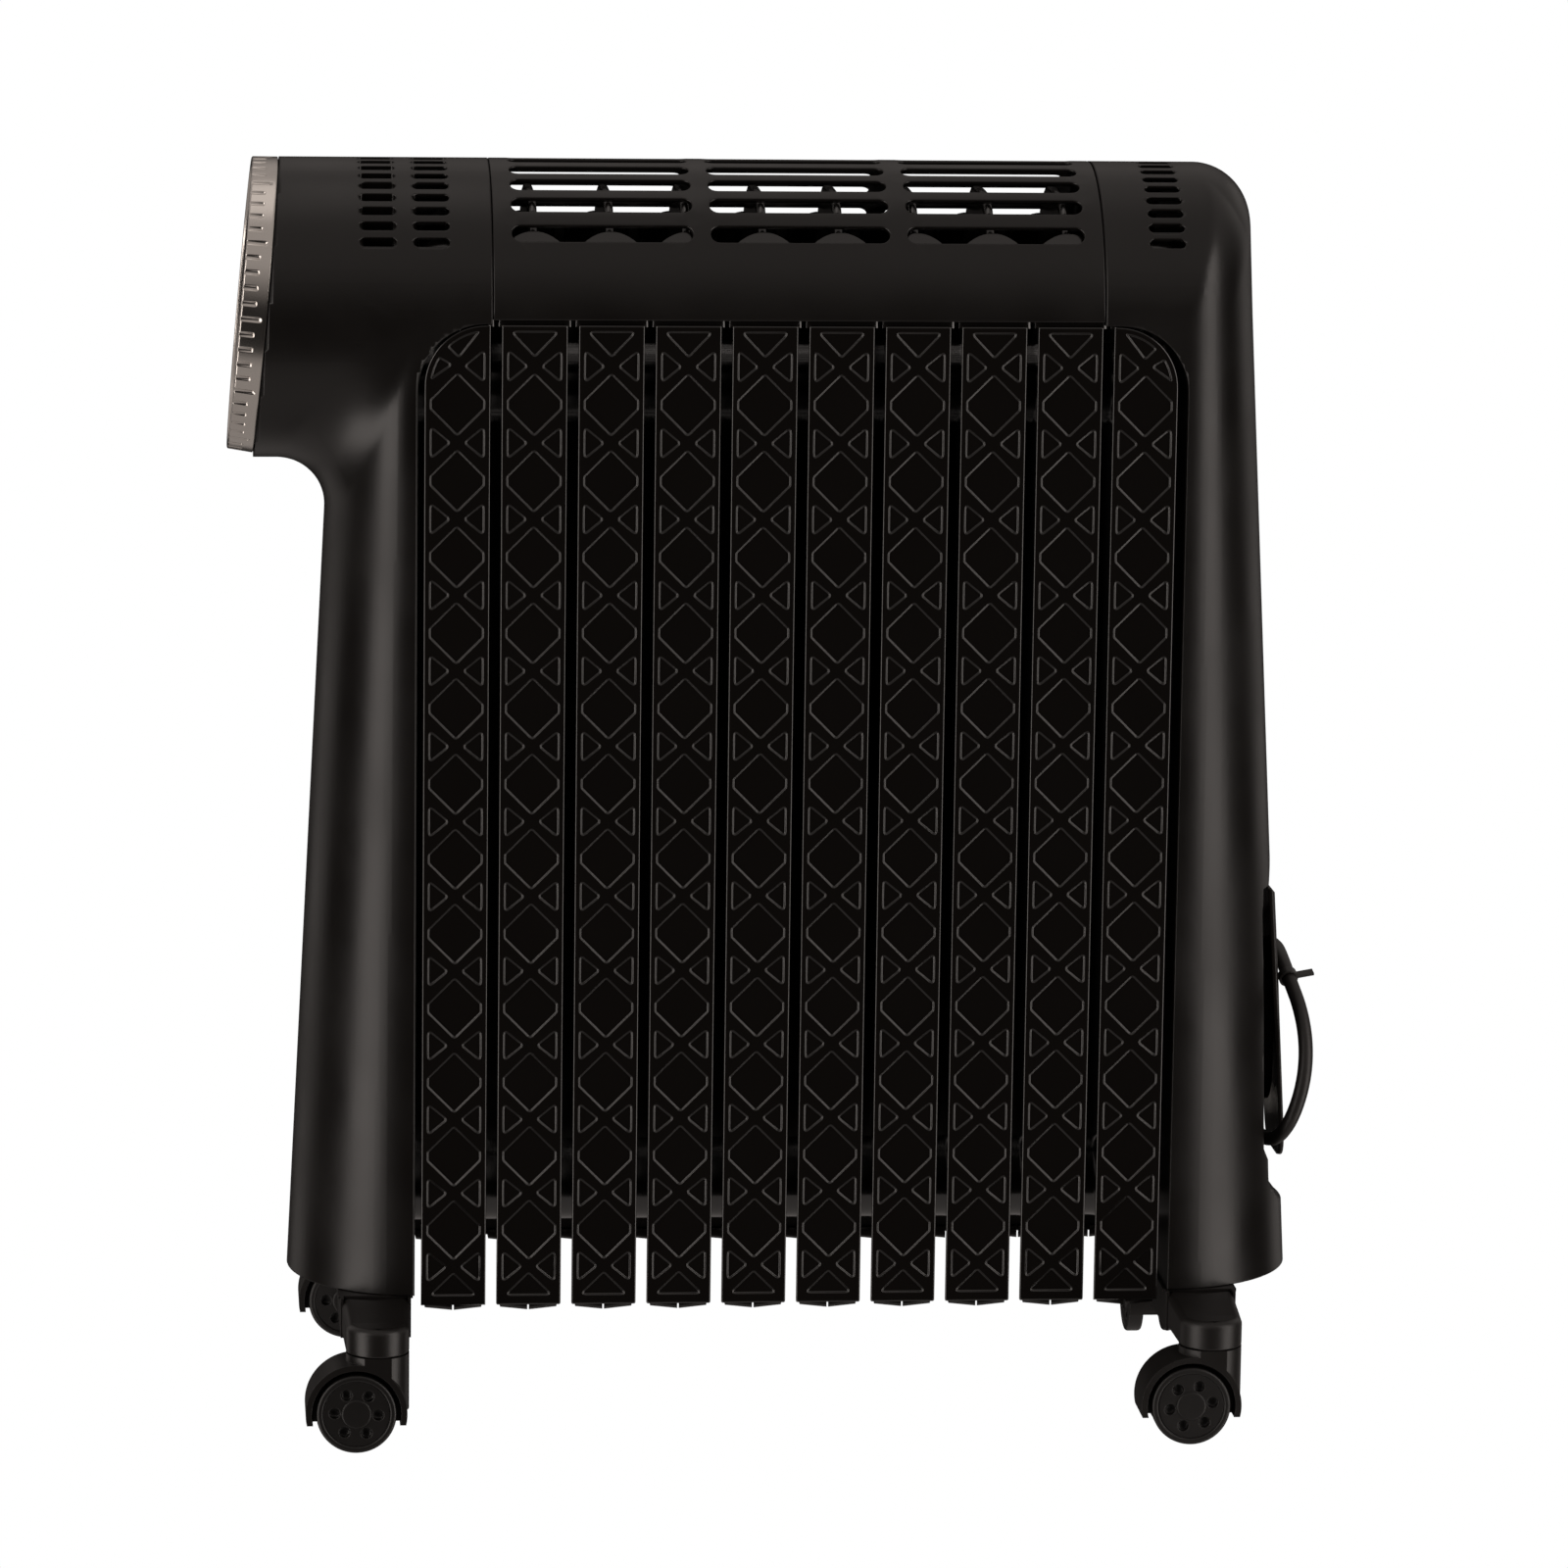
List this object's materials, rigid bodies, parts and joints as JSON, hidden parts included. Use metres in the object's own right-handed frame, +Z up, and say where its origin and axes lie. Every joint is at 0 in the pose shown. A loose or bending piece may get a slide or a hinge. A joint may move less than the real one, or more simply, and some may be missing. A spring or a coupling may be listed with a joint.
{
  "type": "oil filled radiator heater",
  "caption": "Free-standing oil filled radiator with pressed steel fins between moulded end housings, arched top grille, round control dial, cord winder and swivel casters.",
  "frame": {"origin": "on the floor, under the middle of the heater's footprint", "axes": "+Z up, +X from the round control panel towards the cord winder, +Y to the heater's far side"},
  "size_m": [0.5644, 0.259, 0.6415],
  "materials": {
    "fin_paint": "satin dark bronze-black powder coat",
    "housing_plastic": "fine satin moulded texture",
    "caster_plastic": "moulded nylon",
    "wheel_plastic": "moulded nylon, matt",
    "zinc_steel": "zinc plated",
    "bracket_paint": "black powder coat",
    "ring_metal": "satin anodised warm grey",
    "display_gloss": "high gloss black",
    "button_gloss": "gloss black",
    "board": "glass epoxy board with solder mask",
    "electric_plastic": "moulded",
    "winder_plastic": "semi gloss moulded",
    "cord_rubber": "matt PVC sheath",
    "tie_plastic": "thin PVC"
  },
  "bodies": {
    "frame": {"bezel_ring": "ring_metal", "bracket_bolts": "zinc_steel", "caster_arm_front_left": "caster_plastic", "caster_arm_front_right": "caster_plastic", "caster_arm_rear_left": "caster_plastic", "caster_arm_rear_right": "caster_plastic", "cord_tie": "tie_plastic", "cord_winder": "winder_plastic", "display_board": "board", "display_lens": "display_gloss", "display_module": "electric_plastic", "fin_01": "fin_paint", "fin_02": "fin_paint", "fin_03": "fin_paint", "fin_04": "fin_paint", "fin_05": "fin_paint", "fin_06": "fin_paint", "fin_07": "fin_paint", "fin_08": "fin_paint", "fin_09": "fin_paint", "fin_10": "fin_paint", "front_caster_bracket": "bracket_paint", "front_heat_shield": "bracket_paint", "front_housing": "housing_plastic", "heating_element": "zinc_steel", "mains_cord_coil": "cord_rubber", "mains_cord_lead": "cord_rubber", "mains_cord_tail": "cord_rubber", "mains_plug": "cord_rubber", "oil_filler_plug": "zinc_steel", "panel_carrier": "housing_plastic", "power_board": "board", "rear_caster_bracket": "bracket_paint", "rear_heat_shield": "bracket_paint", "rear_housing": "housing_plastic", "strain_relief": "cord_rubber", "thermal_cutout": "zinc_steel", "tip_over_switch": "electric_plastic", "top_cover": "housing_plastic"},
    "caster_fork_front_left": {"caster_hood_front_left": "caster_plastic", "caster_pins_front_left": "zinc_steel"},
    "caster_wheel_a_front_left": {"caster_wheel_a_front_left": "wheel_plastic"},
    "caster_wheel_b_front_left": {"caster_wheel_b_front_left": "wheel_plastic"},
    "caster_fork_front_right": {"caster_hood_front_right": "caster_plastic", "caster_pins_front_right": "zinc_steel"},
    "caster_wheel_a_front_right": {"caster_wheel_a_front_right": "wheel_plastic"},
    "caster_wheel_b_front_right": {"caster_wheel_b_front_right": "wheel_plastic"},
    "caster_fork_rear_left": {"caster_hood_rear_left": "caster_plastic", "caster_pins_rear_left": "zinc_steel"},
    "caster_wheel_a_rear_left": {"caster_wheel_a_rear_left": "wheel_plastic"},
    "caster_wheel_b_rear_left": {"caster_wheel_b_rear_left": "wheel_plastic"},
    "caster_fork_rear_right": {"caster_hood_rear_right": "caster_plastic", "caster_pins_rear_right": "zinc_steel"},
    "caster_wheel_a_rear_right": {"caster_wheel_a_rear_right": "wheel_plastic"},
    "caster_wheel_b_rear_right": {"caster_wheel_b_rear_right": "wheel_plastic"},
    "dial_ring": {"dial_ring": "ring_metal"},
    "power_button": {"power_button": "button_gloss"},
    "mode_button": {"mode_button": "button_gloss"},
    "timer_button": {"timer_button": "button_gloss"}
  },
  "joints": [
    {"name": "caster_swivel_front_left", "type": "hinge", "parent": "frame", "child": "caster_fork_front_left", "pos_m": [-0.2014, -0.1135, 0.045], "axis": [0, 0, 1], "continuous": true},
    {"name": "wheel_a_front_left", "type": "hinge", "parent": "caster_fork_front_left", "child": "caster_wheel_a_front_left", "pos_m": [-0.2122, -0.1135, 0.0202], "axis": [0, 1, 0], "continuous": true},
    {"name": "wheel_b_front_left", "type": "hinge", "parent": "caster_fork_front_left", "child": "caster_wheel_b_front_left", "pos_m": [-0.2122, -0.1135, 0.0202], "axis": [0, 1, 0], "continuous": true},
    {"name": "caster_swivel_front_right", "type": "hinge", "parent": "frame", "child": "caster_fork_front_right", "pos_m": [-0.2014, 0.1135, 0.045], "axis": [0, 0, 1], "continuous": true},
    {"name": "wheel_a_front_right", "type": "hinge", "parent": "caster_fork_front_right", "child": "caster_wheel_a_front_right", "pos_m": [-0.2122, 0.1135, 0.0202], "axis": [0, 1, 0], "continuous": true},
    {"name": "wheel_b_front_right", "type": "hinge", "parent": "caster_fork_front_right", "child": "caster_wheel_b_front_right", "pos_m": [-0.2122, 0.1135, 0.0202], "axis": [0, 1, 0], "continuous": true},
    {"name": "caster_swivel_rear_left", "type": "hinge", "parent": "frame", "child": "caster_fork_rear_left", "pos_m": [0.2224, -0.1135, 0.045], "axis": [0, 0, 1], "continuous": true},
    {"name": "wheel_a_rear_left", "type": "hinge", "parent": "caster_fork_rear_left", "child": "caster_wheel_a_rear_left", "pos_m": [0.2116, -0.1135, 0.0202], "axis": [0, 1, 0], "continuous": true},
    {"name": "wheel_b_rear_left", "type": "hinge", "parent": "caster_fork_rear_left", "child": "caster_wheel_b_rear_left", "pos_m": [0.2116, -0.1135, 0.0202], "axis": [0, 1, 0], "continuous": true},
    {"name": "caster_swivel_rear_right", "type": "hinge", "parent": "frame", "child": "caster_fork_rear_right", "pos_m": [0.2224, 0.1135, 0.045], "axis": [0, 0, 1], "continuous": true},
    {"name": "wheel_a_rear_right", "type": "hinge", "parent": "caster_fork_rear_right", "child": "caster_wheel_a_rear_right", "pos_m": [0.2224, 0.1027, 0.0202], "axis": [-1, 0, 0], "continuous": true},
    {"name": "wheel_b_rear_right", "type": "hinge", "parent": "caster_fork_rear_right", "child": "caster_wheel_b_rear_right", "pos_m": [0.2224, 0.1027, 0.0202], "axis": [-1, 0, 0], "continuous": true},
    {"name": "dial_turn", "type": "hinge", "parent": "frame", "child": "dial_ring", "pos_m": [-0.2562, 0, 0.5665], "axis": [-0.9962, 0, 0.0872], "continuous": true},
    {"name": "power_button_press", "type": "slide", "parent": "frame", "child": "power_button", "axis": [0.9962, 0, -0.0872], "range_m": [0, 0.0012], "stiffness_N_per_m": 800},
    {"name": "mode_button_press", "type": "slide", "parent": "frame", "child": "mode_button", "axis": [0.9962, 0, -0.0872], "range_m": [0, 0.0012], "stiffness_N_per_m": 800},
    {"name": "timer_button_press", "type": "slide", "parent": "frame", "child": "timer_button", "axis": [0.9962, 0, -0.0872], "range_m": [0, 0.0012], "stiffness_N_per_m": 800}
  ]
}
